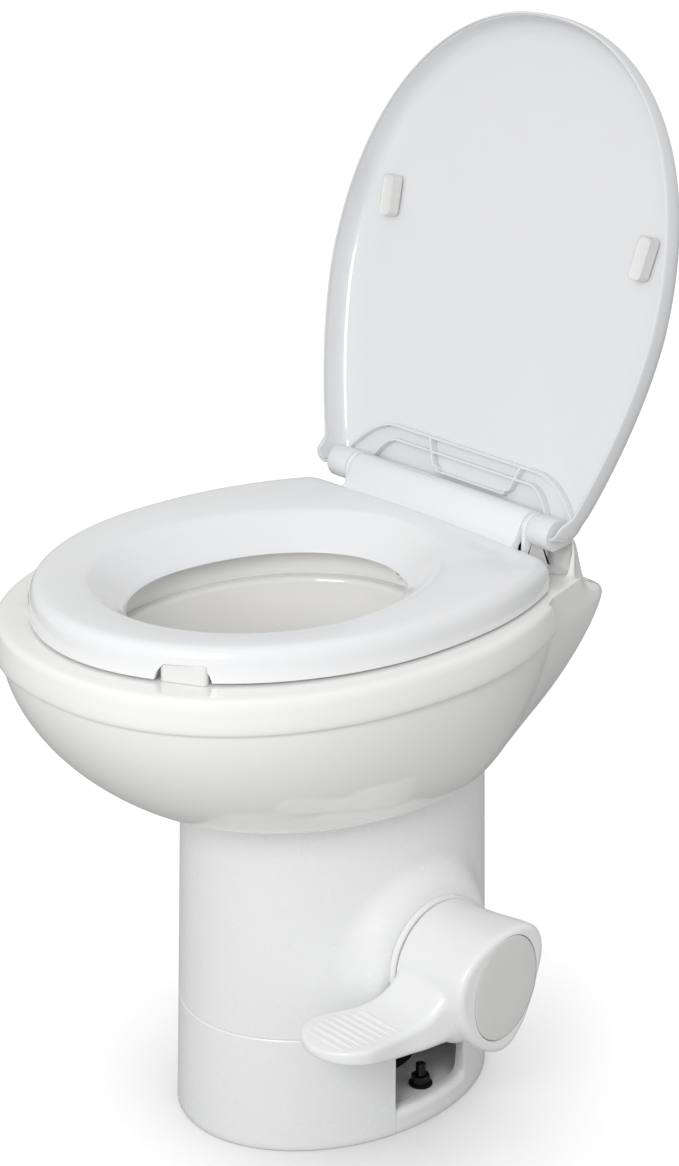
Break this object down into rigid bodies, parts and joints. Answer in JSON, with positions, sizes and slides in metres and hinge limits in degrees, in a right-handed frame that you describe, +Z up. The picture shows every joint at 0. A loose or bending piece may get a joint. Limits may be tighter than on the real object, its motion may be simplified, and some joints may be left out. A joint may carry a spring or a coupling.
{
  "type": "rv toilet",
  "caption": "White gravity-flush toilet for a motorhome with an oval pedestal, open lid, seat and a ribbed foot pedal on the right side.",
  "frame": {"origin": "on the floor, under the middle of the toilet's outline with its lid open", "axes": "+Z up, -Y to the front of the bowl, +X to the side of the foot pedal"},
  "size_m": [0.3724, 0.5063, 0.8286],
  "materials": {
    "white_ceramic": "gloss",
    "white_plastic": "gloss",
    "grey_plastic": "satin",
    "black_plastic": "satin",
    "rubber": "matte",
    "hose": "satin",
    "steel": "brushed",
    "black_steel": "satin",
    "brass": "satin"
  },
  "bodies": {
    "base": {"bowl": "white_ceramic", "pedestal": "white_plastic", "hinge_post_left": "white_plastic", "hinge_post_right": "white_plastic", "pedal_bearing": "white_plastic", "rinse_nozzle": "white_plastic", "water_inlet": "grey_plastic", "shaft_bushing": "grey_plastic", "hinge_nut_left": "grey_plastic", "hinge_nut_right": "grey_plastic", "valve_body": "black_plastic", "water_valve": "black_plastic", "vacuum_breaker": "black_plastic", "bowl_seal": "rubber", "floor_seal": "rubber", "rinse_hose": "hose", "rinse_tube": "hose", "clamp_half_left": "steel", "clamp_half_right": "steel", "clamp_screw_front": "steel", "clamp_screw_rear": "steel", "spring_cartridge": "steel", "pedal_screw": "steel", "hinge_pin_left": "steel", "hinge_pin_right": "steel", "floor_bolt_left": "black_steel", "floor_bolt_right": "black_steel", "floor_washer_left": "black_steel", "floor_washer_right": "black_steel", "floor_nut_left": "black_steel", "floor_nut_right": "black_steel"},
    "seat": {"seat": "white_plastic", "seat_bumper_left": "rubber", "seat_bumper_right": "rubber"},
    "lid": {"lid": "white_plastic", "lid_bumper_left": "rubber", "lid_bumper_right": "rubber"},
    "pedal": {"pedal": "white_plastic", "pedal_cap": "grey_plastic", "pedal_gear": "black_plastic"},
    "ball": {"flush_ball": "white_plastic", "drive_shaft": "steel", "pinion_gear": "grey_plastic", "valve_cam": "grey_plastic"},
    "plunger": {"valve_plunger": "brass"}
  },
  "joints": [
    {"name": "seat_hinge", "type": "hinge", "parent": "base", "child": "seat", "pos_m": [0, 0.13382, 0.466], "axis": [-1, 0, 0], "range_deg": [0, 90]},
    {"name": "lid_hinge", "type": "hinge", "parent": "seat", "child": "lid", "pos_m": [0, 0.13382, 0.466], "axis": [1, 0, 0], "range_deg": [0, 105.8]},
    {"name": "pedal_pivot", "type": "hinge", "parent": "base", "child": "pedal", "pos_m": [0.1125, 0.02232, 0.15], "axis": [1, 0, 0], "range_deg": [0, 30], "stiffness_Nm_per_rad": 2, "springref_deg": -20.05},
    {"name": "ball_turn", "type": "hinge", "parent": "base", "child": "ball", "pos_m": [0, 0.03532, 0.17], "axis": [1, 0, 0], "range_deg": [0, 90]},
    {"name": "plunger_slide", "type": "slide", "parent": "base", "child": "plunger", "axis": [0, 1, 0], "range_m": [0, 0.006]}
  ],
  "couplings": [
    {"joint": "ball_turn", "follows": "pedal_pivot", "ratio": 3},
    {"joint": "plunger_slide", "follows": "pedal_pivot", "m_per_rad": 0.01145}
  ]
}
